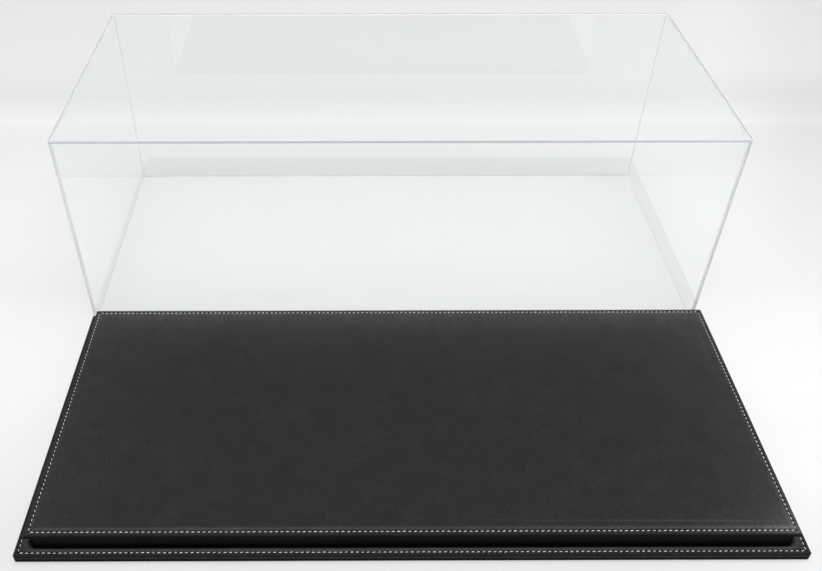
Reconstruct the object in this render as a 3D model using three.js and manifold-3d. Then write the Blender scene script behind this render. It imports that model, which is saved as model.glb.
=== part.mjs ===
// Display case for one large scale model: a clear acrylic cover, lifted off and standing
// behind its stitched leather base. Millimetres, +Z up, +X to the right, -Y to the viewer.
// The origin is the middle of the base's underside.
import * as THREE from 'three';
import { mergeVertices } from 'three/addons/utils/BufferGeometryUtils.js';
import Module from 'manifold-3d';

const wasm = await Module();
wasm.setup();

// Lower board
const boardWidth = 650;
const boardDepth = 294;
const boardCornerRadius = 1.5;
const boardCoreThickness = 7.5;
const boardBottomRadius = 1.2;
const boardTurnIn = 14;
const boardSeamInset = 3.4;

// Felt under the board
const feltThickness = 0.6;
const feltMargin = 8;

// Rim of the lower board that shows round the raised plate and takes the cover
const rimWidth = 9.2;

// Raised plate and the riser that carries it
const plateCornerRadius = 1.2;
const plateCoreThickness = 3.5;
const plateBottomRadius = 0.8;
const plateTurnIn = 12;
const plateSeamInset = 3.7;
const riserHeight = 10.5;
const riserEndInset = 2.2;
const riserFaceInset = 0.3;
const riserCornerRadius = 6;

// Leather
const sheetThickness = 1;
const sheetEdgeRadius = 0.45;
const wrapThickness = 0.8;
const wrapTopRadius = 0.4;
const wrapFlangeBeyondSeam = 3;
const grooveDepth = 0.35;
const grooveFloorWidth = 1.2;
const grooveSlopeWidth = 0.4;

// Stitches
const stitchPitch = 4.5;
const stitchLength = 2.9;
const stitchWidth = 0.85;
const stitchHeight = 0.75;
const stitchSlant = 0.3;
const stitchEndGap = 0.6;
const needleHoleWidth = 0.2;
const needleHoleThread = 0.12;

// Wood screws, driven upwards through board and riser into the plate
const screwLength = 21;
const screwRadius = 1.75;
const screwHeadRadius = 3.5;
const screwHeadHeight = 2.2;
const screwDriveRadius = 1.3;
const screwDriveDepth = 1.4;
const screwTipLength = 3;
const screwSink = 0.2;
const screwGap = 0.3;
const screwEdgeDistance = 34;
const screwColumns = 4;
const screwRows = 2;

// Acrylic cover
const acrylicThickness = 3;
const coverHeight = 218.4;
const coverClearance = 2.4;
const coverStandBack = 3.5;
const coverShift = -4.3;

// How finely round shapes are divided
const cornerSteps = 4;
const edgeSteps = 2;
const screwSides = 12;

const sharpRadius = 0.3;
const cutOverrun = 2;
const quarterTurn = Math.PI / 2;

// Size of the plate
const plateWidth = boardWidth - 2 * rimWidth;
const plateDepth = boardDepth - 2 * rimWidth;

// Levels of the base, from the table up
const boardBottom = feltThickness;
const boardCoreTop = boardBottom + boardCoreThickness;
const rimTop = boardCoreTop + sheetThickness;
const plateBottom = rimTop + riserHeight;
const plateCoreTop = plateBottom + plateCoreThickness;
const boardFlange = boardSeamInset + wrapFlangeBeyondSeam;
const plateFlange = plateSeamInset + wrapFlangeBeyondSeam;

const board = { width: boardWidth, depth: boardDepth, radius: boardCornerRadius };
const plate = { width: plateWidth, depth: plateDepth, radius: plateCornerRadius };
const riser = {
  width: plateWidth - 2 * riserEndInset,
  depth: plateDepth - 2 * riserFaceInset,
  radius: riserCornerRadius,
};

// A material by name, colour, roughness, metalness and opacity
function material(name, color, roughness, metalness = 0, opacity = 1) {
  return new THREE.MeshStandardMaterial({
    name, color, roughness, metalness, opacity, transparent: opacity < 1,
  });
}

const leather = material('leather', 0x37383a, 0.62);
const thread = material('thread', 0xe6e4dc, 0.8);
const fibreboard = material('fibreboard', 0x9b7a55, 0.85);
const felt = material('felt', 0x1d1e20, 0.95);
const zincSteel = material('zinc_steel', 0xb9bcbf, 0.35, 1);
const acrylic = material('acrylic', 0xf4f7f8, 0.05, 0, 0.18);

// The points of a rounded rectangle drawn in from an outline by an inset, anticlockwise.
// Every inset gives the same number of points.
function insetOutline(outline, inset) {
  const radius = Math.max(outline.radius - inset, sharpRadius);
  const centreX = outline.width / 2 - inset - radius;
  const centreY = outline.depth / 2 - inset - radius;
  const corners = [[1, -1], [1, 1], [-1, 1], [-1, -1]];
  const points = [];
  corners.forEach(([sideX, sideY], corner) => {
    for (let step = 0; step <= cornerSteps; step += 1) {
      const angle = (corner - 1 + step / cornerSteps) * quarterTurn;
      points.push([
        sideX * centreX + radius * Math.cos(angle),
        sideY * centreY + radius * Math.sin(angle),
      ]);
    }
  });
  return points;
}

// A closed surface through rings of points, each ring anticlockwise seen from the next one.
// A loop runs round back to its first ring; anything else is capped at both ends.
function ringSurface(rings, isLoop) {
  const ringSize = rings[0].length;
  const triangles = [];
  const lastRing = isLoop ? rings.length : rings.length - 1;
  for (let ring = 0; ring < lastRing; ring += 1) {
    const following = (ring + 1) % rings.length;
    for (let point = 0; point < ringSize; point += 1) {
      const next = (point + 1) % ringSize;
      const corner = ring * ringSize + point;
      const side = ring * ringSize + next;
      const farCorner = following * ringSize + point;
      const farSide = following * ringSize + next;
      triangles.push(corner, side, farSide, corner, farSide, farCorner);
    }
  }
  if (!isLoop) {
    const end = (rings.length - 1) * ringSize;
    for (let point = 1; point < ringSize - 1; point += 1) {
      triangles.push(0, point + 1, point);
      triangles.push(end, end + point, end + point + 1);
    }
  }
  const geometry = new THREE.BufferGeometry();
  geometry.setAttribute('position', new THREE.Float32BufferAttribute(rings.flat(2), 3));
  geometry.setIndex(triangles);
  geometry.computeVertexNormals();
  return geometry;
}

// The rings of rounded rectangles, each given by its inset and height
function levelRings(outline, levels) {
  return levels.map(([inset, height]) => (
    insetOutline(outline, inset).map(([x, y]) => [x, y, height])
  ));
}

const slab = (outline, levels) => ringSurface(levelRings(outline, levels), false);
const frame = (outline, levels) => ringSurface(levelRings(outline, levels), true);

// Points of a quarter circle in a level list, from one angle to the next
function edgeArc(centreInset, centreHeight, radius, fromAngle) {
  const points = [];
  for (let step = 0; step <= edgeSteps; step += 1) {
    const angle = fromAngle + (step / edgeSteps) * quarterTurn;
    points.push([
      centreInset - radius * Math.cos(angle),
      centreHeight + radius * Math.sin(angle),
    ]);
  }
  return points;
}

// A solid for cutting
function solidOf(geometry) {
  const bare = geometry.clone();
  bare.deleteAttribute('normal');
  bare.deleteAttribute('uv');
  const merged = mergeVertices(bare);
  return new wasm.Manifold(new wasm.Mesh({
    numProp: 3,
    vertProperties: new Float32Array(merged.attributes.position.array),
    triVerts: new Uint32Array(merged.index.array),
  }));
}

// A geometry with others cut out of it
function cut(geometry, tools) {
  const solid = tools.reduce((rest, tool) => rest.subtract(solidOf(tool)), solidOf(geometry));
  const mesh = solid.getMesh();
  const result = new THREE.BufferGeometry();
  result.setAttribute('position', new THREE.BufferAttribute(mesh.vertProperties, 3));
  result.setIndex(new THREE.BufferAttribute(mesh.triVerts, 1));
  result.computeVertexNormals();
  return result;
}

// A round solid about +Z from a profile of radii and heights
function turned(profile) {
  const points = profile.map(([radius, height]) => new THREE.Vector2(radius, height));
  const geometry = new THREE.LatheGeometry(points, screwSides);
  geometry.rotateX(quarterTurn);
  return geometry;
}

// Where the screws stand, in even rows under the plate
function screwPlaces() {
  const spanX = plateWidth - 2 * screwEdgeDistance;
  const spanY = plateDepth - 2 * screwEdgeDistance;
  const places = [];
  for (let row = 0; row < screwRows; row += 1) {
    for (let column = 0; column < screwColumns; column += 1) {
      places.push([
        spanX * (column / (screwColumns - 1) - 1 / 2),
        spanY * (row / (screwRows - 1) - 1 / 2),
      ]);
    }
  }
  return places;
}

const screwFace = boardBottom + screwSink;
const screwTip = screwFace + screwLength;

// The hole that a screw needs: a countersink with a bore up to its tip
function screwHole([x, y]) {
  const bore = screwRadius + screwGap;
  const mouth = screwHeadRadius + screwGap;
  const hole = turned([
    [0, boardBottom - cutOverrun],
    [mouth, boardBottom - cutOverrun],
    [mouth, screwFace],
    [bore, screwFace + screwHeadHeight],
    [bore, screwTip - screwTipLength],
    [0, screwTip + screwGap],
  ]);
  hole.translate(x, y, 0);
  return hole;
}

// A countersunk wood screw, head down, with a drive recess
function screw() {
  return turned([
    [0, screwFace + screwDriveDepth],
    [screwDriveRadius, screwFace],
    [screwHeadRadius, screwFace],
    [screwRadius, screwFace + screwHeadHeight],
    [screwRadius, screwTip - screwTipLength],
    [0, screwTip],
  ]);
}

// Fibreboard core, stepped in where the leather is turned over it and under it
function coreBoard(outline, bottom, top, turnIn, flange) {
  return slab(outline, [
    [turnIn, bottom],
    [turnIn, bottom + wrapThickness],
    [wrapThickness, bottom + wrapThickness],
    [wrapThickness, top - wrapThickness],
    [flange, top - wrapThickness],
    [flange, top],
  ]);
}

// Leather strip round a core's edge, turned in below and under the sheet above
function edgeWrap(outline, bottom, top, turnIn, flange, bottomRadius) {
  return frame(outline, [
    ...edgeArc(bottomRadius, bottom + bottomRadius, bottomRadius, -quarterTurn),
    ...edgeArc(wrapTopRadius, top - wrapTopRadius, wrapTopRadius, 0),
    [flange, top],
    [flange, top - wrapThickness],
    [wrapThickness, top - wrapThickness],
    [wrapThickness, bottom + wrapThickness],
    [turnIn, bottom + wrapThickness],
    [turnIn, bottom],
  ]);
}

// Leather sheet with rounded edges, drawn down along its seam
function topSheet(outline, bottom, seamInset) {
  const top = bottom + sheetThickness;
  const floorHalf = grooveFloorWidth / 2;
  const mouthHalf = floorHalf + grooveSlopeWidth;
  return slab(outline, [
    ...edgeArc(sheetEdgeRadius, bottom + sheetEdgeRadius, sheetEdgeRadius, -quarterTurn),
    ...edgeArc(sheetEdgeRadius, top - sheetEdgeRadius, sheetEdgeRadius, 0),
    [seamInset - mouthHalf, top],
    [seamInset - floorHalf, top - grooveDepth],
    [seamInset + floorHalf, top - grooveDepth],
    [seamInset + mouthHalf, top],
  ]);
}

// A straight run of stitches along +X: one thread on the groove's floor, which lies a
// little slantwise in each stitch and thins where it dips into a needle hole
function stitchRun(length) {
  const stitched = length - 2 * stitchEndGap;
  const count = Math.round(stitched / stitchPitch);
  const step = stitched / count;
  const section = (x, width, height, slant) => [
    [x + slant, width / 2, 0],
    [x, 0, height],
    [x - slant, -width / 2, 0],
  ];
  const hole = (index) => (
    section(index * step - stitched / 2, needleHoleWidth, needleHoleThread, 0)
  );
  const rings = [hole(0)];
  for (let index = 0; index < count; index += 1) {
    const middle = (index + 1 / 2) * step - stitched / 2;
    rings.push(
      section(middle - stitchLength / 2, stitchWidth, stitchHeight, stitchSlant),
      section(middle + stitchLength / 2, stitchWidth, stitchHeight, stitchSlant),
      hole(index + 1),
    );
  }
  return ringSurface(rings, false);
}

function mesh(name, geometry, surface) {
  const piece = new THREE.Mesh(geometry, surface);
  piece.name = name;
  return piece;
}

// The four stitched runs of one sheet
function seams(name, outline, top, seamInset) {
  const lengthX = outline.width - 2 * seamInset;
  const lengthY = outline.depth - 2 * seamInset;
  const runs = [
    ['front', lengthX, 0, -lengthY / 2, 0],
    ['right', lengthY, lengthX / 2, 0, quarterTurn],
    ['back', lengthX, 0, lengthY / 2, 2 * quarterTurn],
    ['left', lengthY, -lengthX / 2, 0, -quarterTurn],
  ];
  const group = new THREE.Group();
  for (const [side, length, x, y, turn] of runs) {
    const run = mesh(`${name}_seam_${side}`, stitchRun(length), thread);
    run.position.set(x, y, top - grooveDepth);
    run.rotation.z = turn;
    group.add(run);
  }
  return group;
}

function feltSheet() {
  return slab(board, [[feltMargin, 0], [feltMargin, feltThickness]]);
}

// Lower board: core, edge strip, sheet and stitching
function lowerBoard(holes) {
  const core = coreBoard(board, boardBottom, boardCoreTop, boardTurnIn, boardFlange);
  const wrap = edgeWrap(
    board, boardBottom, boardCoreTop, boardTurnIn, boardFlange, boardBottomRadius,
  );
  const sheet = topSheet(board, boardCoreTop, boardSeamInset);
  const group = new THREE.Group();
  group.add(
    mesh('underside_felt', feltSheet(), felt),
    mesh('board_core', cut(core, holes), fibreboard),
    mesh('board_edge_wrap', wrap, leather),
    mesh('board_top_sheet', cut(sheet, holes), leather),
    seams('board', board, rimTop, boardSeamInset),
  );
  return group;
}

// Riser and plate
function raisedPlate(holes) {
  const riserSide = [
    [0, rimTop], [0, plateBottom], [wrapThickness, plateBottom], [wrapThickness, rimTop],
  ];
  const riserBlock = slab(riser, [[wrapThickness, rimTop], [wrapThickness, plateBottom]]);
  const core = coreBoard(plate, plateBottom, plateCoreTop, plateTurnIn, plateFlange);
  const wrap = edgeWrap(
    plate, plateBottom, plateCoreTop, plateTurnIn, plateFlange, plateBottomRadius,
  );
  const group = new THREE.Group();
  group.add(
    mesh('riser_core', cut(riserBlock, holes), fibreboard),
    mesh('riser_wrap', frame(riser, riserSide), leather),
    mesh('plate_core', cut(core, holes), fibreboard),
    mesh('plate_edge_wrap', wrap, leather),
    mesh('plate_top_sheet', topSheet(plate, plateCoreTop, plateSeamInset), leather),
    seams('plate', plate, plateCoreTop + sheetThickness, plateSeamInset),
  );
  return group;
}

function base() {
  const places = screwPlaces();
  const holes = places.map(screwHole);
  const group = new THREE.Group();
  group.add(lowerBoard(holes), raisedPlate(holes));
  places.forEach(([x, y], index) => {
    const fastener = mesh(`base_screw_${index + 1}`, screw(), zincSteel);
    fastener.position.set(x, y, 0);
    group.add(fastener);
  });
  return group;
}

// Five acrylic sheets: the top lies over the walls, and the side walls stand between the
// front and the back
function cover() {
  const width = plateWidth + 2 * (coverClearance + acrylicThickness);
  const depth = plateDepth + 2 * (coverClearance + acrylicThickness);
  const wallHeight = coverHeight - acrylicThickness;
  const sideDepth = depth - 2 * acrylicThickness;
  const faceY = (depth - acrylicThickness) / 2;
  const sideX = (width - acrylicThickness) / 2;
  const panels = [
    ['top', [width, depth, acrylicThickness], [0, 0, coverHeight - acrylicThickness / 2]],
    ['front', [width, acrylicThickness, wallHeight], [0, -faceY, wallHeight / 2]],
    ['back', [width, acrylicThickness, wallHeight], [0, faceY, wallHeight / 2]],
    ['left', [acrylicThickness, sideDepth, wallHeight], [-sideX, 0, wallHeight / 2]],
    ['right', [acrylicThickness, sideDepth, wallHeight], [sideX, 0, wallHeight / 2]],
  ];
  const group = new THREE.Group();
  group.position.set(coverShift, (boardDepth + depth) / 2 + coverStandBack, 0);
  for (const [side, size, place] of panels) {
    const panel = mesh(`cover_${side}_panel`, new THREE.BoxGeometry(...size), acrylic);
    panel.position.set(...place);
    group.add(panel);
  }
  return group;
}

const displayCase = new THREE.Group();
displayCase.add(base(), cover());

export default displayCase;
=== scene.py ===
"""Looks of a display case for one large scale model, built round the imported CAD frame.

The clear cover stands behind its black leather base. All lengths are in metres.
"""

import math

import bmesh
import bpy
import numpy as np
from mathutils import Matrix, Vector


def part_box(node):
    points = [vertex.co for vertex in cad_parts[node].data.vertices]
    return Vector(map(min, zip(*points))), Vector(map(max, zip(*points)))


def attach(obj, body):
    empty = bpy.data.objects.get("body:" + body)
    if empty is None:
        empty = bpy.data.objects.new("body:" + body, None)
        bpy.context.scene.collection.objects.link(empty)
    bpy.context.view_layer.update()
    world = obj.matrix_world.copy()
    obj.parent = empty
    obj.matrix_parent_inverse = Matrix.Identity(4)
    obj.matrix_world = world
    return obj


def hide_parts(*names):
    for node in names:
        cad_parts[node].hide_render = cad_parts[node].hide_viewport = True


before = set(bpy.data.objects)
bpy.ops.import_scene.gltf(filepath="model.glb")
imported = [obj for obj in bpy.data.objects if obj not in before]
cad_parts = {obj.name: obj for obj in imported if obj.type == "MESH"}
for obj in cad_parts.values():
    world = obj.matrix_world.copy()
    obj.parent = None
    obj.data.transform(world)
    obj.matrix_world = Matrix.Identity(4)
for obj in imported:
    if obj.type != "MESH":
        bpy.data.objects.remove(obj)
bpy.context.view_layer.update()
MM = 0.001
SIDES = ("front", "right", "back", "left")

# Camera: the photograph's size and the principal point of the view it was cropped from, in
# pixels, with the place and the angles, in radians, of the camera that took it
PHOTO_WIDTH, PHOTO_HEIGHT = 822, 571
FOCAL_PIXELS = 867.38
PRINCIPAL_X, PRINCIPAL_Y = 355.93, 312.61
SENSOR_WIDTH_MM = 36.0
CAMERA_PLACE = Vector((-47.02, -544.08, 623.36)) * MM
CAMERA_PITCH, CAMERA_YAW, CAMERA_ROLL = 0.72385, 0.0029, -0.00053
CLIP_START, CLIP_END = 0.01, 50.0

# Floor: its painted light and shade, by its distance in metres behind a line in front of the base,
# with painted shadow in front of the base and just behind it, and a painted pale band far behind
FLOOR_START = -0.25
FLOOR_PAINTED_LIGHT = (
    (0.06, 0.77), (0.2, 0.85), (0.3, 0.9), (0.42, 0.89), (0.45, 0.87), (0.52, 0.89), (0.7, 0.88),
    (0.75, 0.86), (0.81, 0.87), (0.828, 0.92), (0.85, 0.87), (0.91, 0.8), (1.0, 0.85),
)
# The floor's right part takes more painted light and shade by the same distance, paler in front
# and darker further back. It begins along a slanting line, which moves right by FLOOR_SLANT metres
# for each metre further back
FLOOR_RIGHT_PAINTED_LIGHT = (
    (0.1, 1.06), (0.19, 1.06), (0.25, 1.02), (0.43, 0.98), (0.52, 0.92), (0.63, 0.89), (0.75, 0.87),
    (0.83, 0.84), (0.92, 0.9), (1.0, 0.92),
)
FLOOR_SLANT, FLOOR_RIGHT_START, FLOOR_RIGHT_END = 0.4, 0.23, 0.37
# The share of the floor's look that glows with its painted colour, not the light on it
FLOOR_GLOW = 0.55
FLOOR_HALF = 8.0

# Surroundings: how strongly they light, their colours from level to straight above, and the
# share of them that comes from in front and from behind
WORLD_LIGHT = 0.6
WORLD_SHADES = (
    (0.0, (0.85, 0.86, 0.87)), (0.5, (0.84, 0.85, 0.87)),
    (0.75, (0.5, 0.51, 0.53)), (1.0, (0.45, 0.46, 0.48)),
)
WORLD_FRONT_TO_BACK = ((0.15, 0.8), (0.55, 1.0))

# Lamps: place, the point that they face, width and depth, and watts
LAMPS = {
    "overhead": ((0.2, -0.1, 2.6), (0.2, -0.1, 0.0), (2.2, 1.4), 40.0),
    "front": ((0.1, -1.8, 1.8), (0.1, 0.0, 0.0), (2.0, 1.0), 24.0),
    "left": ((-1.9, 0.3, 0.9), (0.0, 0.1, 0.05), (1.4, 1.2), 3.5),
    "right": ((1.9, 0.3, 0.9), (0.0, 0.1, 0.05), (1.4, 1.2), 11.0),
}

# Leather sheets
CORNER_RADIUS = {"board": 1.5 * MM, "plate": 1.2 * MM, "riser": 6 * MM}
ROLL_WIDTH = 1.3 * MM
ROLL_STEPS = 6
UNDER_RADIUS = 0.45 * MM
UNDER_STEPS = 3
RUN_SPACING = 1.125 * MM
CORNER_STEPS = 8
# Places round a ring count four runs and four corners
ONCE_ROUND = 8.0
SHARP_RADIUS = 0.04 * MM
SEAM_RING_SPACING = 0.2 * MM
SEAM_RING_COUNT = 15
BAND_STEPS = tuple(step * MM for step in (1.8, 2.3, 2.9, 3.4, 3.9, 4.4, 4.9, 5.5, 6.5, 8.0))
DECK_CELL = 3 * MM
HIDDEN_CELL = 40 * MM

# Relief of the leather: along a seam a groove with needle holes and puckers, a crown inside it
# and a strip outside it, and on the rim a crease along the riser's foot. Painted shade darkens the
# groove, the holes and the crease, and painted highlights lie on the crown and beside the crease
STITCH_PITCH = 4.5 * MM
GROOVE_DEPTH, GROOVE_WIDTH = 0.45 * MM, 0.6 * MM
HOLE_DEPTH, HOLE_WIDTH = 0.55 * MM, 0.55 * MM
GROOVE_SHADE, HOLE_SHADE, HOLE_SHADE_WIDTH = 0.6, 0.92, 1.9 * HOLE_WIDTH
CROWN_HEIGHT, CROWN_PLACE, CROWN_WIDTH = 0.22 * MM, 2.2 * MM, 1.3 * MM
CROWN_SHINE = 0.35
STRIP_HEIGHT, STRIP_PLACE, STRIP_WIDTH = 0.12 * MM, 1.5 * MM, 0.8 * MM
FOOT_DEPTH, FOOT_START, FOOT_END = 0.4 * MM, 2.7 * MM, 1.8 * MM
# Painted shadow in the crease, and a painted highlight beside it
FOOT_SHADE = 0.93
FOOT_SHINE, FOOT_SHINE_PLACE, FOOT_SHINE_WIDTH = 1.5, 4.0 * MM, 2.4 * MM
PUCKER_HEIGHT, PUCKER_WIDTH = 0.05 * MM, 1.4 * MM

# Painted light that makes the deck's leather paler: how much, and how far that reaches from the seam
BACK_HIGHLIGHT, BACK_HIGHLIGHT_REACH = 2.3, 20 * MM
RIGHT_HIGHLIGHT, RIGHT_HIGHLIGHT_REACH = 0.45, 45 * MM
LEFT_HIGHLIGHT, LEFT_HIGHLIGHT_REACH = 0.3, 60 * MM
# Painted highlights: a shine along the front, stronger towards the right corner, a glow in that corner
# and streaks of light over the ripples there
FRONT_SHINE, FRONT_SHINE_PLACE, FRONT_SHINE_WIDTH = 1.1, 3.0 * MM, 1.6 * MM
CORNER_SHINE, CORNER_SHINE_REACH = 1.6, 35 * MM
CORNER_GLOW, CORNER_GLOW_REACH = 2.2, 12 * MM
STREAK_GLOW, STREAK_DEPTH, STREAK_PITCH = 1.6, 0.45, 7 * MM
STREAK_ACROSS, STREAK_ALONG, STREAK_SLANT = 15 * MM, 40 * MM, 0.25

# The deck's unevenness, which fades out towards the seam: ripples under the streaks, and slow
# waves, each with its length along X and Y for a turn of one radian and with its phase
RIPPLE_HEIGHT = 0.12 * MM
WAVE_HEIGHT, WAVE_START = 0.055 * MM, 25 * MM
WAVES = ((27 * MM, 38 * MM, 0.0), (11 * MM, -17 * MM, 2.0))

# Painted shade: a sheet darkens towards its outline and down its rolled edge, and its darkest
# painted shade is matt
SHEET_SHADE, EDGE_SHADE, EDGE_DARKENING = 0.95, 0.2, 1.2 * MM
MATT_SHADE = 0.16

# Thread
THREAD_RADIUS = 0.28 * MM
THREAD_SIDES, THREAD_RINGS = 10, 11
THREAD_LOBE_SHARE = 0.12
THREAD_TURNS = 1.3
THREAD_END_SHARE = 0.62
HOLE_INSET = 0.7 * MM
THREAD_DIP, THREAD_LIFT = 0.45 * MM, 0.14 * MM
STITCH_SLANT = 0.3 * MM
STITCH_WANDER = 0.05 * MM

# Leather edge strips
WRAP_THICKNESS = 0.8 * MM
WRAP_SPACING = 3 * MM
BOTTOM_STEPS, WALL_STEPS, TOP_STEPS = 5, 8, 4
# Slow swells along a strip, and finer ones on top of them
WRAP_WAVE, WRAP_WAVE_X, WRAP_WAVE_Y = 0.07 * MM, 31 * MM, 23 * MM
WRAP_FINE_SHARE, WRAP_FINE_X, WRAP_FINE_Y, WRAP_FINE_Z = 0.4, 7 * MM, 5 * MM, 2 * MM
# Painted light and shade on each strip, by the share of its height: mostly dark, with a painted
# highlight high on the board's strip. The riser's corners take more painted shade
BOARD_STRIP_PAINTED_LIGHT = (
    (0.0, 0.15), (0.35, 0.2), (0.55, 0.25), (0.64, 0.8), (0.72, 2.6), (0.8, 1.2), (0.88, 0.9),
    (0.95, 0.5), (1.0, 0.25),
)
PLATE_STRIP_PAINTED_LIGHT = ((0.0, 0.35), (0.4, 0.5), (0.8, 0.4), (1.0, 0.4))
RISER_STRIP_PAINTED_LIGHT = ((0.0, 0.15), (0.5, 0.3), (1.0, 0.4))
RISER_CORNER_SHADE = 0.35

# Acrylic
ACRYLIC_BEVEL, BEVEL_STEPS = 0.3 * MM, 3
CEMENT_GAP = 0.02 * MM
# What passes of the lamps' light at each face of a sheet, and at each edge
FACE_PASSES, EDGE_PASSES = (0.76, 0.775, 0.768), (0.8, 0.8, 0.8)
# A face is flat, not part of a bevel, when its normal lies this closely along an axis
FLAT = 0.99
# Painted light and shade on the cut edges, by panel and by the side that an edge faces, a little
# darker towards the cover's ends and along the top sheet's lower edge. The top sheet's front edge
# has a faint tint
EDGE_PAINTED_LIGHT = {
    "top": {"front": 0.94, "right": 1.0, "back": 0.88, "left": 0.95},
    "front": {"up": 0.75}, "back": {"up": 0.8}, "left": {"up": 0.62}, "right": {"up": 0.62},
}
END_SHARE, LOWER_SHARE = 0.96, 0.68
PLAIN_TINT, FRONT_TINT = (1.0, 1.0, 1.0), (0.95, 0.985, 1.0)
EDGE_TONE, BEVEL_SHARE = 1.0, 0.97


def seeded(seed):
    return np.random.default_rng(seed)


# Node materials


def new_material(name):
    """A Principled material with its node tree, and object coordinates to draw on."""
    material = bpy.data.materials.new(name)
    material.use_nodes = True
    tree = material.node_tree
    shader = tree.nodes["Principled BSDF"]
    place = tree.nodes.new("ShaderNodeTexCoord").outputs["Object"]
    return material, tree, shader, place


def texture(tree, kind, place, **inputs):
    node = tree.nodes.new(f"ShaderNodeTex{kind}")
    tree.links.new(place, node.inputs["Vector"])
    for name, value in inputs.items():
        node.inputs[name].default_value = value
    return node


def ramp(tree, source, stops):
    """A colour ramp over (position, colour) stops; a plain number is a grey."""
    node = tree.nodes.new("ShaderNodeValToRGB")
    tree.links.new(source, node.inputs["Fac"])
    elements = node.color_ramp.elements
    while len(elements) < len(stops):
        elements.new(0.5)
    for element, (position, colour) in zip(elements, stops):
        element.position = position
        grey = isinstance(colour, (int, float))
        element.color = (colour, colour, colour, 1) if grey else (*colour, 1)
    return node.outputs["Color"]


def mixed(tree, factor, first, second, blend="MIX"):
    """A mix of two colours, by the Mix node's colour sockets; each value may be a link or plain."""
    node = tree.nodes.new("ShaderNodeMix")
    node.data_type = "RGBA"
    node.blend_type = blend
    for value, socket in ((factor, node.inputs[0]), (first, node.inputs[6]), (second, node.inputs[7])):
        if isinstance(value, bpy.types.NodeSocket):
            tree.links.new(value, socket)
        else:
            socket.default_value = value if isinstance(value, (int, float)) else (*value, 1)
    return node.outputs[2]


def maths(tree, operation, *values):
    node = tree.nodes.new("ShaderNodeMath")
    node.operation = operation
    for value, socket in zip(values, node.inputs):
        if isinstance(value, bpy.types.NodeSocket):
            tree.links.new(value, socket)
        else:
            socket.default_value = value
    return node.outputs[0]


def bump(tree, shader, layers):
    """Stacks bump layers of (height, strength, distance) into the shader's normal."""
    below = None
    for height, strength, distance in layers:
        node = tree.nodes.new("ShaderNodeBump")
        node.inputs["Strength"].default_value = strength
        node.inputs["Distance"].default_value = distance
        tree.links.new(height, node.inputs["Height"])
        if below is not None:
            tree.links.new(below, node.inputs["Normal"])
        below = node.outputs["Normal"]
    tree.links.new(below, shader.inputs["Normal"])


def seen_directly(tree):
    """1 for what the camera sees, also in gloss and through acrylic, and 0 for bounced light."""
    light = tree.nodes.new("ShaderNodeLightPath")
    glossy, through = light.outputs["Is Glossy Ray"], light.outputs["Is Transmission Ray"]
    indirect = maths(tree, "MAXIMUM", glossy, through)
    seen = maths(tree, "MAXIMUM", light.outputs["Is Camera Ray"], indirect)
    unbounced = maths(tree, "LESS_THAN", light.outputs["Diffuse Depth"], 0.5)
    return maths(tree, "MULTIPLY", seen, unbounced)


def leather_material(name, specular, sheen):
    """Black leather: fine pebbled grain and faint mottling, times the painted light and shade that the
    mesh carries as its shade.
    """
    material, tree, shader, place = new_material(name)
    grain = texture(tree, "Voronoi", place, Scale=1150.0, Randomness=1.0)
    grain.feature = "SMOOTH_F1"
    pores = texture(tree, "Noise", place, Scale=2600.0, Detail=3.0)
    mottle = texture(tree, "Noise", place, Scale=55.0, Detail=4.0, Roughness=0.6)
    body = ramp(
        tree, mottle.outputs["Fac"], [(0.3, (0.0184, 0.0191, 0.0183)), (0.7, (0.0273, 0.0281, 0.0266))],
    )
    between_pebbles = ramp(tree, grain.outputs["Distance"], [(0.15, 0.0), (0.75, 1.0)])
    grained = mixed(tree, between_pebbles, body, (0.008, 0.008, 0.008))
    # The mesh's shade: painted shade in creases, grooves, holes and down the edges, and painted
    # highlights where the leather is paler
    shade = tree.nodes.new("ShaderNodeAttribute")
    shade.attribute_name = "shade"
    shaded = mixed(tree, 1.0, grained, shade.outputs["Color"], "MULTIPLY")
    tree.links.new(shaded, shader.inputs["Base Color"])
    roughness = ramp(tree, pores.outputs["Fac"], [(0.3, 0.54), (0.7, 0.68)])
    tree.links.new(roughness, shader.inputs["Roughness"])
    shader.inputs["Specular IOR Level"].default_value = specular
    shader.inputs["Sheen Weight"].default_value = sheen
    shader.inputs["Sheen Roughness"].default_value = 0.35
    bump(tree, shader, [
        (mottle.outputs["Fac"], 0.22, 0.4 * MM),
        (grain.outputs["Distance"], 0.75, 0.15 * MM),
        (pores.outputs["Fac"], 0.3, 0.06 * MM),
    ])
    return material


def thread_material():
    """Off-white sewing thread: fine fibres, a little darker in the hollows of their relief."""
    material, tree, shader, place = new_material("white_thread")
    fibre = texture(tree, "Noise", place, Scale=3800.0, Detail=2.0)
    tone = texture(tree, "Noise", place, Scale=160.0, Detail=2.0)
    clean = ramp(tree, tone.outputs["Fac"], [(0.3, (0.82, 0.8, 0.74)), (0.7, (0.9, 0.89, 0.85))])
    darker_in_hollows = ramp(tree, fibre.outputs["Fac"], [(0.35, 0.35), (0.6, 0.0)])
    tree.links.new(mixed(tree, darker_in_hollows, clean, (0.5, 0.48, 0.43)), shader.inputs["Base Color"])
    shader.inputs["Roughness"].default_value = 0.8
    shader.inputs["Sheen Weight"].default_value = 0.2
    bump(tree, shader, [(fibre.outputs["Fac"], 0.4, 0.06 * MM)])
    return material


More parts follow.
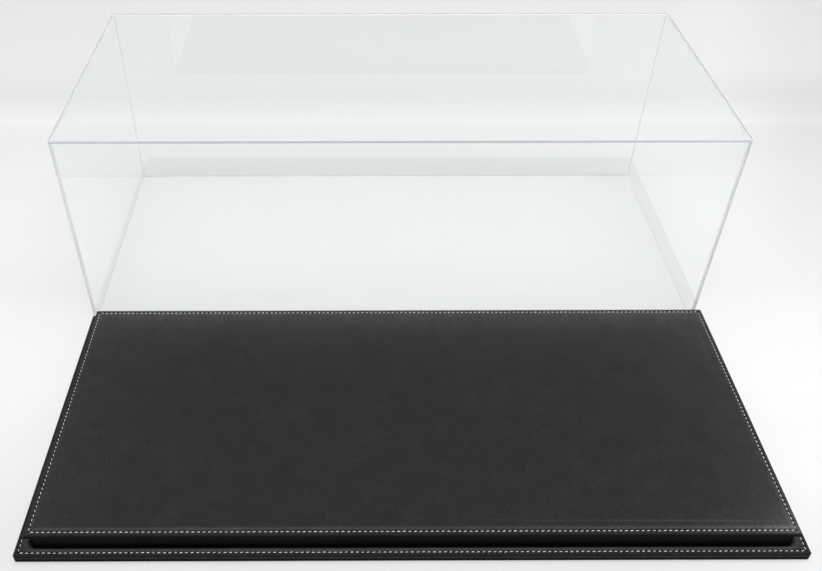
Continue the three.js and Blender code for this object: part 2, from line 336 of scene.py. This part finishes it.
def fibreboard_material():
    """Raw fibreboard: brown felted fibres with darker flecks."""
    material, tree, shader, place = new_material("raw_fibreboard")
    fibre = texture(tree, "Noise", place, Scale=900.0, Detail=6.0, Roughness=0.7)
    fleck = texture(tree, "Voronoi", place, Scale=420.0)
    body = ramp(tree, fibre.outputs["Fac"], [(0.3, (0.24, 0.14, 0.07)), (0.7, (0.42, 0.28, 0.15))])
    flecks = ramp(tree, fleck.outputs["Distance"], [(0.0, 0.5), (0.16, 0.0)])
    tree.links.new(mixed(tree, flecks, body, (0.12, 0.07, 0.035)), shader.inputs["Base Color"])
    shader.inputs["Roughness"].default_value = 0.85
    bump(tree, shader, [(fibre.outputs["Fac"], 0.4, 0.1 * MM)])
    return material


def felt_material():
    """Black felt: matted fibres with a soft sheen."""
    material, tree, shader, place = new_material("black_felt")
    fibre = texture(tree, "Noise", place, Scale=1500.0, Detail=5.0, Distortion=1.5)
    body = ramp(tree, fibre.outputs["Fac"], [(0.3, (0.009, 0.009, 0.01)), (0.7, (0.026, 0.026, 0.028))])
    tree.links.new(body, shader.inputs["Base Color"])
    shader.inputs["Roughness"].default_value = 0.95
    shader.inputs["Sheen Weight"].default_value = 0.3
    bump(tree, shader, [(fibre.outputs["Fac"], 0.6, 0.15 * MM)])
    return material


def zinc_material():
    """Zinc-plated steel: slightly clouded plating."""
    material, tree, shader, place = new_material("zinc_steel")
    cloud = texture(tree, "Noise", place, Scale=300.0, Detail=3.0)
    body = ramp(tree, cloud.outputs["Fac"], [(0.3, (0.5, 0.51, 0.53)), (0.7, (0.66, 0.67, 0.68))])
    tree.links.new(body, shader.inputs["Base Color"])
    roughness = ramp(tree, cloud.outputs["Fac"], [(0.3, 0.28), (0.7, 0.42)])
    tree.links.new(roughness, shader.inputs["Roughness"])
    shader.inputs["Metallic"].default_value = 1.0
    return material


def lets_light_through(tree, shader, colour):
    """Lets lamps shine through a surface, tinted, in place of dark shadows."""
    clear = tree.nodes.new("ShaderNodeBsdfTransparent")
    clear.inputs["Color"].default_value = (*colour, 1)
    light = tree.nodes.new("ShaderNodeLightPath")
    mix = tree.nodes.new("ShaderNodeMixShader")
    tree.links.new(light.outputs["Is Shadow Ray"], mix.inputs["Fac"])
    tree.links.new(shader.outputs["BSDF"], mix.inputs[1])
    tree.links.new(clear.outputs["BSDF"], mix.inputs[2])
    tree.links.new(mix.outputs["Shader"], tree.nodes["Material Output"].inputs["Surface"])


def acrylic_material():
    """Clear cast acrylic, faintly wavy as a polished sheet is."""
    material, tree, shader, place = new_material("clear_acrylic")
    haze = texture(tree, "Noise", place, Scale=14.0, Detail=2.0)
    tint = ramp(tree, haze.outputs["Fac"], [(0.3, (0.985, 0.995, 0.99)), (0.7, (0.99, 0.995, 0.993))])
    tree.links.new(tint, shader.inputs["Base Color"])
    shader.inputs["Roughness"].default_value = 0.0
    shader.inputs["IOR"].default_value = 1.49
    shader.inputs["Transmission Weight"].default_value = 1.0
    wave = texture(tree, "Noise", place, Scale=9.0, Detail=1.0)
    bump(tree, shader, [(wave.outputs["Fac"], 0.15, 0.4 * MM)])
    lets_light_through(tree, shader, FACE_PASSES)
    return material


def acrylic_edge_material():
    """The sheets' sawn and cemented edges: a pale diffuse colour with a lavender cast, which stands in
    for the light they gather, times their painted light and shade.
    """
    material, tree, shader, place = new_material("acrylic_edge")
    cement = texture(tree, "Noise", place, Scale=60.0, Detail=2.0)
    # Painted light and shade by face, carried by the mesh
    tone = tree.nodes.new("ShaderNodeAttribute")
    tone.attribute_name = "tone"
    pale = ramp(tree, cement.outputs["Fac"], [(0.3, (0.94, 0.945, 0.965)), (0.7, (0.985, 0.985, 1.0))])
    toned = mixed(tree, 1.0, pale, tone.outputs["Color"], "MULTIPLY")
    tree.links.new(toned, shader.inputs["Base Color"])
    shader.inputs["Roughness"].default_value = 0.4
    bump(tree, shader, [(cement.outputs["Fac"], 0.1, 0.05 * MM)])
    lets_light_through(tree, shader, EDGE_PASSES)
    return material


# Meshes


def new_piece(name, vertices, faces, material, smooth=True, shade=None):
    mesh = bpy.data.meshes.new(name)
    mesh.from_pydata([tuple(v) for v in vertices], [], [tuple(int(i) for i in f) for f in faces])
    mesh.validate()
    mesh.update()
    mesh.materials.append(material)
    mesh.polygons.foreach_set("use_smooth", [smooth] * len(mesh.polygons))
    # The shade attribute carries painted light and shade
    if shade is not None:
        colours = np.ones((len(vertices), 4), np.float32)
        colours[:, :3] = np.asarray(shade, np.float32)[:, None]
        layer = mesh.color_attributes.new("shade", "FLOAT_COLOR", "POINT")
        layer.data.foreach_set("color", colours.ravel())
    piece = bpy.data.objects.new(name, mesh)
    bpy.context.scene.collection.objects.link(piece)
    return piece


def stands_for(piece, body, slot, *nodes):
    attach(piece, body)
    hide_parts(*nodes)


def outline_ring(width, depth, radius, inset, run_counts):
    """A rounded rectangle drawn in by an inset, anticlockwise from the front-left, always with
    the same number of points: each straight run and then its corner."""
    round_radius = max(radius - inset, SHARP_RADIUS)
    half_x = width / 2 - inset - round_radius
    half_y = depth / 2 - inset - round_radius
    centres = [(half_x, -half_y), (half_x, half_y), (-half_x, half_y), (-half_x, -half_y)]
    points = []
    for side in range(4):
        first, second = centres[side - 1], centres[side]
        angle = (side - 1) * math.pi / 2
        out = (round_radius * math.cos(angle), round_radius * math.sin(angle))
        for step in range(run_counts[side % 2]):
            share = step / run_counts[side % 2]
            points.append((
                first[0] + (second[0] - first[0]) * share + out[0],
                first[1] + (second[1] - first[1]) * share + out[1],
            ))
        for step in range(CORNER_STEPS):
            turn = angle + step / CORNER_STEPS * math.pi / 2
            points.append((
                second[0] + round_radius * math.cos(turn),
                second[1] + round_radius * math.sin(turn),
            ))
    return np.array(points)


def ring_places(run_counts):
    """How far round each point of an outline ring lies: a run and its corner count as two."""
    places = []
    for side in range(4):
        count = run_counts[side % 2]
        places += [2 * side + step / count for step in range(count)]
        places += [2 * side + 1 + step / CORNER_STEPS for step in range(CORNER_STEPS)]
    return np.array(places)


def ring_quads(first, second, size):
    """Faces between two rings of one size, whose vertices start at first and second."""
    index = np.arange(size)
    after = (index + 1) % size
    return np.stack([first + index, first + after, second + after, second + index], axis=1).tolist()


def zipped(outer, outer_places, inner, inner_places):
    """Triangles between two loops that go round together, with different point counts."""
    outer_next = [*outer_places[1:], ONCE_ROUND, math.inf]
    inner_next = [*inner_places[1:], ONCE_ROUND, math.inf]
    faces = []
    i = j = 0
    while i < len(outer) or j < len(inner):
        a, b = outer[i % len(outer)], inner[j % len(inner)]
        if outer_next[i] <= inner_next[j]:
            faces.append((a, outer[(i + 1) % len(outer)], b))
            i += 1
        else:
            faces.append((a, inner[(j + 1) % len(inner)], b))
            j += 1
    return faces


class Seam:
    """The stitch line of one sheet, read from the CAD threads of its front and right sides: where it
    runs and where its needle holes are, from the sheet's centre."""

    def __init__(self, part, centre):
        low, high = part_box(f"{part}_seam_front")
        self.half_y = centre.y - (low.y + high.y) / 2
        self.span_x = high.x - low.x
        low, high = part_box(f"{part}_seam_right")
        self.half_x = (low.x + high.x) / 2 - centre.x
        self.span_y = high.y - low.y
        self.count_x = round(self.span_x / STITCH_PITCH)
        self.count_y = round(self.span_y / STITCH_PITCH)

    def measure(self, x, y):
        """Distance inwards from the seam, the distance to it and to its nearest hole, and how
        far through its stitch each point lies."""
        inwards = np.minimum(self.half_x - np.abs(x), self.half_y - np.abs(y))
        along_x = self.half_y - np.abs(y) < self.half_x - np.abs(x)
        along = np.where(along_x, x, y)
        span = np.where(along_x, self.span_x, self.span_y)
        step = np.where(along_x, self.span_x / self.count_x, self.span_y / self.count_y)
        steps = np.clip((along + span / 2) / step, 0, span / step)
        off_hole = (steps - np.round(steps)) * step + along - np.clip(along, -span / 2, span / 2)
        return inwards, np.abs(inwards), np.hypot(off_hole, inwards), steps


def hill(distance, width):
    """1 at no distance, falling smoothly to nothing beyond the width."""
    return np.exp(-((distance / width) ** 2))


def eased(share):
    """A share kept within 0 and 1 that starts and ends gently."""
    share = np.clip(share, 0, 1)
    return share * share * (3 - 2 * share)


def seam_relief(seam, x, y):
    """Height that the stitching adds to the leather, and the painted shade in its groove and holes and
    the painted highlight on the crown inside it.
    """
    inwards, distance, to_hole, steps = seam.measure(x, y)
    groove = hill(distance, GROOVE_WIDTH)
    hole = hill(to_hole, HOLE_WIDTH)
    crown = hill(inwards - CROWN_PLACE, CROWN_WIDTH)
    strip = hill(inwards + STRIP_PLACE, STRIP_WIDTH)
    pucker = -np.cos(2 * math.pi * steps) * hill(distance, PUCKER_WIDTH)
    height = (
        CROWN_HEIGHT * crown + STRIP_HEIGHT * strip + PUCKER_HEIGHT * pucker
        - GROOVE_DEPTH * groove - HOLE_DEPTH * hole
    )
    # Painted shade in the groove and round the needle holes, and a painted highlight on the crown
    dark_hole = hill(to_hole, HOLE_SHADE_WIDTH)
    shade = (1 - GROOVE_SHADE * groove) * (1 - HOLE_SHADE * dark_hole) * (1 + CROWN_SHINE * crown)
    return height, shade


def rim_surface(seam, x, y):
    """The rim, drawn down into a crease along the riser's foot, with painted shadow in the crease and a
    painted highlight beside it.
    """
    height, shade = seam_relief(seam, x, y)
    low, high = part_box("riser_wrap")
    radius = CORNER_RADIUS["riser"]
    past_x = np.abs(x) - ((high.x - low.x) / 2 - radius)
    past_y = np.abs(y) - ((high.y - low.y) / 2 - radius)
    outside = np.hypot(np.maximum(past_x, 0), np.maximum(past_y, 0))
    within = np.minimum(np.maximum(past_x, past_y), 0)
    away = outside + within - radius
    # Painted shadow in the crease along the riser's foot, and a painted highlight a little way out
    foot = eased((away - FOOT_START) / (FOOT_END - FOOT_START))
    shine = 1 + FOOT_SHINE * hill(away - FOOT_SHINE_PLACE, FOOT_SHINE_WIDTH)
    return height - FOOT_DEPTH * foot, shade * shine * (1 - FOOT_SHADE * foot)


def deck_surface(seam, x, y):
    """The deck: slow waves, painted light that makes the leather paler along the back and the sides,
    and a painted shine along the front that grows into faint painted streaks at the right corner."""
    height, shade = seam_relief(seam, x, y)
    from_right, from_left = seam.half_x - x, seam.half_x + x
    from_back, from_front = seam.half_y - y, seam.half_y + y
    wave = WAVE_HEIGHT * sum(np.sin(x / run_x + y / run_y + phase) for run_x, run_y, phase in WAVES)
    reach = np.exp(-from_right / STREAK_ACROSS - from_front / STREAK_ALONG)
    across = from_right - STREAK_SLANT * from_front
    streak = np.cos(2 * math.pi * across / STREAK_PITCH) * reach
    inside = eased(seam.measure(x, y)[0] / WAVE_START)
    to_corner = np.exp(-from_right / CORNER_SHINE_REACH)
    front_line = hill(from_front - FRONT_SHINE_PLACE, FRONT_SHINE_WIDTH)
    # Painted light and painted highlights, added to the shade
    paler = (
        BACK_HIGHLIGHT * np.exp(-from_back / BACK_HIGHLIGHT_REACH)
        + RIGHT_HIGHLIGHT * np.exp(-from_right / RIGHT_HIGHLIGHT_REACH)
        + LEFT_HIGHLIGHT * np.exp(-from_left / LEFT_HIGHLIGHT_REACH)
        + FRONT_SHINE * front_line * (1 + CORNER_SHINE * to_corner)
        + CORNER_GLOW * np.exp(-from_front / CORNER_GLOW_REACH) * to_corner
        + STREAK_GLOW * (reach + STREAK_DEPTH * streak)
    )
    return height + (wave + RIPPLE_HEIGHT * streak) * inside, shade * (1 + paler)


def leather_sheet(part, cell, surface):
    """A sheet with a rolled edge, drawn down along its seam, over a grid of inner cells."""
    low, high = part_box(f"{part}_top_sheet")
    centre = (low + high) / 2
    width, depth, thickness = high - low
    radius = CORNER_RADIUS[part]
    seam = Seam(part, centre)
    seam_inset = width / 2 - seam.half_x
    run_counts = [round((side - 2 * radius) / RUN_SPACING) for side in (width, depth)]

    # The edge's insets and heights: rolled under and over, then along the seam and past it
    profile = []
    for step in range(UNDER_STEPS):
        angle = (step / UNDER_STEPS - 1) * math.pi / 2
        profile.append((UNDER_RADIUS * (1 - math.cos(angle)), UNDER_RADIUS * (1 + math.sin(angle))))
    rise = thickness - UNDER_RADIUS
    for step in range(ROLL_STEPS + 1):
        angle = step / ROLL_STEPS * math.pi / 2
        profile.append((ROLL_WIDTH * (1 - math.cos(angle)), UNDER_RADIUS + rise * math.sin(angle)))
    seam_start = seam_inset - (SEAM_RING_COUNT - 1) / 2 * SEAM_RING_SPACING
    for step in range(SEAM_RING_COUNT):
        inset = seam_start + step * SEAM_RING_SPACING
        if inset > ROLL_WIDTH:
            profile.append((inset, thickness))
    profile += [(seam_inset + step, thickness) for step in BAND_STEPS]

    rings = [outline_ring(width, depth, radius, inset, run_counts) for inset, _ in profile]
    size = len(rings[0])
    plan = np.concatenate(rings)
    heights = np.repeat([height for _, height in profile], size)
    faces = []
    for ring in range(len(rings) - 1):
        faces += ring_quads(ring * size, (ring + 1) * size, size)

    # A grid inside the last ring, joined to it all round
    band = profile[-1][0]
    half_x, half_y = width / 2 - band - cell, depth / 2 - band - cell
    columns, rows = (max(2, round(2 * half / cell)) for half in (half_x, half_y))
    grid_x, grid_y = np.meshgrid(
        np.linspace(-half_x, half_x, columns + 1), np.linspace(-half_y, half_y, rows + 1)
    )
    start = len(plan)
    grid = start + np.arange((columns + 1) * (rows + 1)).reshape(rows + 1, columns + 1)
    plan = np.concatenate([plan, np.stack([grid_x.ravel(), grid_y.ravel()], axis=1)])
    heights = np.concatenate([heights, np.full(grid.size, thickness)])
    faces += np.stack(
        [grid[:-1, :-1], grid[:-1, 1:], grid[1:, 1:], grid[1:, :-1]], axis=-1
    ).reshape(-1, 4).tolist()
    inner = [*grid[0, :-1], *grid[:-1, -1], *grid[-1, :0:-1], *grid[:0:-1, 0]]
    inner_places = []
    for side, count in enumerate((columns, rows, columns, rows)):
        inner_places += [2 * side + 2 * step / count for step in range(count)]
    outer = list(range((len(rings) - 1) * size, len(rings) * size))
    faces += zipped(outer, ring_places(run_counts), inner, inner_places)

    # The underside, from the first ring to one point
    under = len(plan)
    plan = np.concatenate([plan, [[0.0, 0.0]]])
    heights = np.append(heights, 0.0)
    faces += [((step + 1) % size, step, under) for step in range(size)]

    # Relief, which fades out on the way down the rolled edge, and painted light and shade, which grow
    # darker there with more painted shade
    x, y = plan[:, 0], plan[:, 1]
    relief, shade = surface(seam, x, y)
    on_top = np.clip((heights - UNDER_RADIUS) / rise, 0, 1)
    heights = heights + relief * on_top
    from_edge = np.clip((seam.measure(x, y)[0] + seam_inset) / EDGE_DARKENING, 0, 1)
    shade = shade * (EDGE_SHADE + (SHEET_SHADE - EDGE_SHADE) * on_top ** 3 * from_edge)
    vertices = np.stack([centre.x + x, centre.y + y, low.z + heights], axis=1)
    piece = new_piece(f"{part}_leather", vertices, faces, LEATHER, shade=shade)
    # Faces under the darkest painted shade take the matt, shaded copy of the leather
    piece.data.materials.append(MATT_SHADED_LEATHER)
    for face in piece.data.polygons:
        face.material_index = int(shade[list(face.vertices)].mean() < MATT_SHADE)
    stands_for(piece, "base", "leather", f"{part}_top_sheet")
    return seam, centre, high.z


def edge_strip(name, node, radius, section, tones, corner_shade=1.0):
    """A leather strip round a board's edge; its section is a closed run of insets and levels, and its
    painted light and shade go with the share of its height, times more painted shade at its corners."""
    low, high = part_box(node)
    centre = (low + high) / 2
    width, depth, height = high - low
    profile = section(height)
    run_counts = [round((side - 2 * radius) / WRAP_SPACING) for side in (width, depth)]
    rings = [outline_ring(width, depth, radius, inset, run_counts) for inset, _ in profile]
    size = len(rings[0])
    random = seeded(len(name))
    phases = random.uniform(0, 2 * math.pi, 4)
    vertices, faces, corners = [], [], []
    for ring, (points, (inset, level)) in enumerate(zip(rings, profile)):
        x, y = points[:, 0], points[:, 1]
        wave = np.sin(x / WRAP_WAVE_X + phases[0]) * np.sin(y / WRAP_WAVE_Y + phases[1])
        fine_turn = y / WRAP_FINE_Y + level / WRAP_FINE_Z + phases[3]
        fine = np.sin(x / WRAP_FINE_X + phases[2]) * np.cos(fine_turn)
        swell = math.sin(math.pi * level / height) if inset < UNDER_RADIUS else 0.0
        shift = 1 + WRAP_WAVE * (wave + WRAP_FINE_SHARE * fine) * swell / (width / 2)
        vertices.append(np.stack([
            centre.x + x * shift, centre.y + y * shift, np.full(size, low.z + level),
        ], axis=1))
        faces += ring_quads(ring * size, (ring + 1) % len(rings) * size, size)
        corners.append(np.minimum(np.abs(x) - width / 2, np.abs(y) - depth / 2) > -radius)
    vertices = np.concatenate(vertices)
    shade = np.interp((vertices[:, 2] - low.z) / height, *zip(*tones))
    shade *= np.where(np.concatenate(corners), corner_shade, 1.0)
    piece = new_piece(name, vertices, faces, MATT_SHADED_LEATHER, shade=shade)
    stands_for(piece, "base", "leather", node)


def arc(centre_inset, centre_level, radius, first, last, steps):
    """Profile points on a quarter circle; angles are in quarter turns, 0 facing outwards."""
    angles = [math.pi / 2 * (first + (last - first) * step / steps) for step in range(steps + 1)]
    return [
        (centre_inset - radius * math.cos(angle), centre_level + radius * math.sin(angle))
        for angle in angles
    ]


def wrap_section(height, bottom_radius, top_radius, turn_in, flange):
    """A strip's section: rounded below and above, turned in under the core and the sheet."""
    thickness = WRAP_THICKNESS
    wall = height - top_radius - bottom_radius
    walls = [(0.0, bottom_radius + wall * step / WALL_STEPS) for step in range(1, WALL_STEPS)]
    return [
        *arc(bottom_radius, bottom_radius, bottom_radius, -1, 0, BOTTOM_STEPS),
        *walls,
        *arc(top_radius, height - top_radius, top_radius, 0, 1, TOP_STEPS),
        (flange, height), (flange, height - thickness), (thickness, height - thickness),
        (thickness, thickness), (turn_in, thickness), (turn_in, 0.0),
    ]


def stitch_run(part, side, seam, centre, top):
    """The stitches of one side: short plied threads that arch from needle hole to needle hole."""
    turned = side in ("right", "left")
    span, count = (seam.span_y, seam.count_y) if turned else (seam.span_x, seam.count_x)
    offset = {
        "front": (0, -seam.half_y), "back": (0, seam.half_y),
        "right": (seam.half_x, 0), "left": (-seam.half_x, 0),
    }[side]
    random = seeded(SIDES.index(side) + 4 * len(part))
    step = span / count
    share = np.linspace(0, 1, THREAD_RINGS)
    angle = np.arange(THREAD_SIDES) / THREAD_SIDES * 2 * math.pi
    arch = 1 - np.abs(2 * share - 1) ** 3
    taper = THREAD_END_SHARE + (1 - THREAD_END_SHARE) * np.sqrt(np.clip(arch, 0, 1))
    vertices, faces = [], []
    for index in range(count):
        start = -span / 2 + index * step + HOLE_INSET
        length = step - 2 * HOLE_INSET
        slant = STITCH_SLANT + random.normal(0, STITCH_WANDER)
        drift, lift = random.normal(0, STITCH_WANDER, 2)
        phase = random.uniform(0, 2 * math.pi)
        along = start + length * share
        across = slant * (2 * share - 1) + drift
        height = top - GROOVE_DEPTH - THREAD_DIP + (THREAD_DIP + THREAD_LIFT + lift) * arch
        twist = phase + THREAD_TURNS * 2 * math.pi * share[:, None]
        lobes = 1 + THREAD_LOBE_SHARE * np.cos(2 * (angle[None, :] - twist))
        radius = THREAD_RADIUS * taper[:, None] * lobes
        first = len(vertices)
        for ring in range(THREAD_RINGS):
            for turn in range(THREAD_SIDES):
                sideways = across[ring] + radius[ring, turn] * math.cos(angle[turn])
                z = height[ring] + radius[ring, turn] * math.sin(angle[turn])
                x, y = (-sideways, along[ring]) if turned else (along[ring], sideways)
                vertices.append((centre.x + offset[0] + x, centre.y + offset[1] + y, z))
            if ring:
                ring_start = first + ring * THREAD_SIDES
                faces += ring_quads(ring_start, ring_start - THREAD_SIDES, THREAD_SIDES)
        faces.append([first + turn for turn in range(THREAD_SIDES)])
        end = first + (THREAD_RINGS - 1) * THREAD_SIDES
        faces.append([end + turn for turn in reversed(range(THREAD_SIDES))])
    piece = new_piece(f"{part}_stitches_{side}", vertices, faces, THREAD)
    stands_for(piece, "base", "thread", f"{part}_seam_{side}")


def side_faced(normal):
    """The side of the case that a face looks to."""
    axis = max(range(3), key=lambda axis: abs(normal[axis]))
    return (("left", "right"), ("front", "back"), ("down", "up"))[axis][normal[axis] > 0]


def acrylic_panel(name):
    """One sheet of the cover with softly broken edges, a hair apart from its neighbours."""
    low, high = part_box(name)
    size = high - low - Vector((CEMENT_GAP,) * 3) * 2
    shape = bmesh.new()
    bmesh.ops.create_cube(shape, size=1.0)
    bmesh.ops.scale(shape, vec=size, verts=shape.verts)
    bmesh.ops.translate(shape, vec=(low + high) / 2, verts=shape.verts)
    bmesh.ops.bevel(
        shape, geom=shape.edges[:], offset=ACRYLIC_BEVEL, segments=BEVEL_STEPS,
        profile=0.5, affect="EDGES",
    )
    thin = min(range(3), key=lambda axis: size[axis])
    cover_low, cover_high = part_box("cover_top_panel")
    thickness = cover_high.z - cover_low.z
    tones = shape.loops.layers.float_color.new("tone")
    painted_light_by_side = EDGE_PAINTED_LIGHT.get(name.split("_")[1], {})
    # Painted light and shade on edges and bevels, by the side they face, darker towards the cover's
    # ends and low on the top sheet's edges
    for face in shape.faces:
        side = side_faced(face.normal)
        flat = max(abs(part) for part in face.normal) > FLAT
        face_tone = painted_light_by_side.get(side, EDGE_TONE) * (1 if flat else BEVEL_SHARE)
        tint = FRONT_TINT if thin == 2 and side == "front" else PLAIN_TINT
        face.material_index = 0 if abs(face.normal[thin]) > FLAT else 1
        for corner in face.loops:
            place = corner.vert.co
            inward = min(1, min(place.x - cover_low.x, cover_high.x - place.x) / thickness)
            tone = face_tone * (END_SHARE + (1 - END_SHARE) * inward)
            if thin == 2:
                tone *= LOWER_SHARE + (1 - LOWER_SHARE) * (place.z - low.z) / thickness
            corner[tones] = (*(tone * part for part in tint), 1)
    mesh = bpy.data.meshes.new(name)
    shape.to_mesh(mesh)
    shape.free()
    mesh.materials.append(ACRYLIC)
    mesh.materials.append(ACRYLIC_EDGE)
    piece = bpy.data.objects.new(name.replace("_panel", "_sheet"), mesh)
    bpy.context.scene.collection.objects.link(piece)
    stands_for(piece, "cover", "acrylic", name)


# Stage


def make_camera():
    """The camera that took the photograph: its place, angles and off-centre crop."""
    pitch, yaw, roll = CAMERA_PITCH, CAMERA_YAW, CAMERA_ROLL
    forward = Vector((
        math.sin(yaw) * math.cos(pitch), math.cos(yaw) * math.cos(pitch), -math.sin(pitch),
    ))
    level = Vector((math.cos(yaw), -math.sin(yaw), 0))
    upright = level.cross(forward)
    right = level * math.cos(roll) + upright * math.sin(roll)
    up = upright * math.cos(roll) - level * math.sin(roll)
    data = bpy.data.cameras.new("camera")
    data.sensor_fit = "HORIZONTAL"
    data.sensor_width = SENSOR_WIDTH_MM
    data.lens = FOCAL_PIXELS / PHOTO_WIDTH * SENSOR_WIDTH_MM
    data.shift_x = (PHOTO_WIDTH / 2 - PRINCIPAL_X) / PHOTO_WIDTH
    data.shift_y = (PRINCIPAL_Y - PHOTO_HEIGHT / 2) / PHOTO_WIDTH
    data.clip_start, data.clip_end = CLIP_START, CLIP_END
    camera = bpy.data.objects.new("camera", data)
    turn = Matrix((right, up, -forward)).transposed().to_4x4()
    camera.matrix_world = Matrix.Translation(CAMERA_PLACE) @ turn
    bpy.context.scene.collection.objects.link(camera)
    bpy.context.scene.camera = camera


def area_light(name, place, target, size, power):
    data = bpy.data.lights.new(name, "AREA")
    data.shape = "RECTANGLE"
    data.size, data.size_y = size
    data.energy = power
    lamp = bpy.data.objects.new(name, data)
    lamp.location = place
    lamp.rotation_mode = "QUATERNION"
    lamp.rotation_quaternion = (Vector(target) - Vector(place)).to_track_quat("-Z", "Y")
    lamp.visible_glossy = False
    bpy.context.scene.collection.objects.link(lamp)


def make_world():
    """Soft light, strongest at eye level and from behind, weaker from above and in front."""
    world = bpy.data.worlds.new("studio")
    bpy.context.scene.world = world
    world.use_nodes = True
    tree = world.node_tree
    heading = tree.nodes.new("ShaderNodeSeparateXYZ")
    direction = tree.nodes.new("ShaderNodeTexCoord").outputs["Generated"]
    tree.links.new(direction, heading.inputs["Vector"])
    by_height = ramp(tree, heading.outputs["Z"], WORLD_SHADES)
    behind = maths(tree, "MULTIPLY_ADD", heading.outputs["Y"], 0.5, 0.5)
    front_to_back = ramp(tree, behind, WORLD_FRONT_TO_BACK)
    shades = mixed(tree, 1.0, by_height, front_to_back, "MULTIPLY")
    lit = tree.nodes["Background"]
    tree.links.new(shades, lit.inputs["Color"])
    lit.inputs["Strength"].default_value = WORLD_LIGHT
    seen = tree.nodes.new("ShaderNodeBackground")
    tree.links.new(shades, seen.inputs["Color"])
    mix = tree.nodes.new("ShaderNodeMixShader")
    tree.links.new(seen_directly(tree), mix.inputs["Fac"])
    tree.links.new(lit.outputs["Background"], mix.inputs[1])
    tree.links.new(seen.outputs["Background"], mix.inputs[2])
    tree.links.new(mix.outputs["Shader"], tree.nodes["World Output"].inputs["Surface"])


def make_floor():
    """A pale floor with painted light and shade by place, part of whose look glows with that colour
    and doesn't depend on the light.
    """
    material, tree, shader, place = new_material("pale_floor")
    split = tree.nodes.new("ShaderNodeSeparateXYZ")
    tree.links.new(place, split.inputs["Vector"])
    paper = texture(tree, "Noise", place, Scale=3.0, Detail=2.0)
    distance = maths(tree, "SUBTRACT", split.outputs["Y"], FLOOR_START)
    across = maths(tree, "MULTIPLY_ADD", split.outputs["Y"], -FLOOR_SLANT, split.outputs["X"])
    to_right = ramp(tree, across, [(FLOOR_RIGHT_START, 0.0), (FLOOR_RIGHT_END, 1.0)])
    # Painted light and shade by distance, with more of it on the right
    left_painted_light = ramp(tree, distance, FLOOR_PAINTED_LIGHT)
    right_painted_light = ramp(tree, distance, FLOOR_RIGHT_PAINTED_LIGHT)
    shades = mixed(tree, to_right, left_painted_light, right_painted_light, "MULTIPLY")
    mottling = ramp(tree, paper.outputs["Fac"], [(0.3, 0.0), (0.7, 0.04)])
    pale = mixed(tree, mottling, shades, (0.7, 0.7, 0.7))
    tree.links.new(pale, shader.inputs["Base Color"])
    shader.inputs["Roughness"].default_value = 0.9
    glow = tree.nodes.new("ShaderNodeEmission")
    tree.links.new(pale, glow.inputs["Color"])
    mix = tree.nodes.new("ShaderNodeMixShader")
    tree.links.new(maths(tree, "MULTIPLY", seen_directly(tree), FLOOR_GLOW), mix.inputs["Fac"])
    tree.links.new(shader.outputs["BSDF"], mix.inputs[1])
    tree.links.new(glow.outputs["Emission"], mix.inputs[2])
    tree.links.new(mix.outputs["Shader"], tree.nodes["Material Output"].inputs["Surface"])
    corners = [(-1, -1), (1, -1), (1, 1), (-1, 1)]
    vertices = [(x * FLOOR_HALF, y * FLOOR_HALF, 0) for x, y in corners]
    floor = new_piece("floor", vertices, [(0, 1, 2, 3)], material, smooth=False)


# Scene


LEATHER = leather_material("black_leather", specular=0.22, sheen=0.15)
# A matt copy of the same leather that stands in for shade, on the edge strips and under the darkest
# painted shade
MATT_SHADED_LEATHER = leather_material("matt_shaded_leather", specular=0.05, sheen=0.0)
THREAD = thread_material()
ACRYLIC, ACRYLIC_EDGE = acrylic_material(), acrylic_edge_material()
# Finishes of the pieces that keep their CAD shape, by a word in their names
FINISHES = {"core": fibreboard_material(), "felt": felt_material(), "screw": zinc_material()}

make_camera()
make_world()
make_floor()
for name, (place, target, size, power) in LAMPS.items():
    area_light(name, place, target, size, power)

for part, cell, surface in (("board", HIDDEN_CELL, rim_surface), ("plate", DECK_CELL, deck_surface)):
    seam, centre, top = leather_sheet(part, cell, surface)
    for side in SIDES:
        stitch_run(part, side, seam, centre, top)

edge_strip(
    "board_edge_leather", "board_edge_wrap", CORNER_RADIUS["board"],
    lambda height: wrap_section(
        height, bottom_radius=1.2 * MM, top_radius=1.6 * MM, turn_in=14 * MM, flange=6.4 * MM,
    ),
    BOARD_STRIP_PAINTED_LIGHT,
)
edge_strip(
    "plate_edge_leather", "plate_edge_wrap", CORNER_RADIUS["plate"],
    lambda height: wrap_section(
        height, bottom_radius=0.8 * MM, top_radius=0.7 * MM, turn_in=12 * MM, flange=6.7 * MM,
    ),
    PLATE_STRIP_PAINTED_LIGHT,
)
edge_strip(
    "riser_leather", "riser_wrap", CORNER_RADIUS["riser"],
    lambda height: [
        (0, 0), (0, height / 3), (0, height * 2 / 3), (0, height),
        (WRAP_THICKNESS, height), (WRAP_THICKNESS, 0),
    ],
    RISER_STRIP_PAINTED_LIGHT, corner_shade=RISER_CORNER_SHADE,
)
for side in ("top", "front", "back", "left", "right"):
    acrylic_panel(f"cover_{side}_panel")

for name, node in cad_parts.items():
    for word, finish in FINISHES.items():
        if word in name:
            node.data.materials.clear()
            node.data.materials.append(finish)

bpy.context.scene.view_settings.view_transform = "Standard"
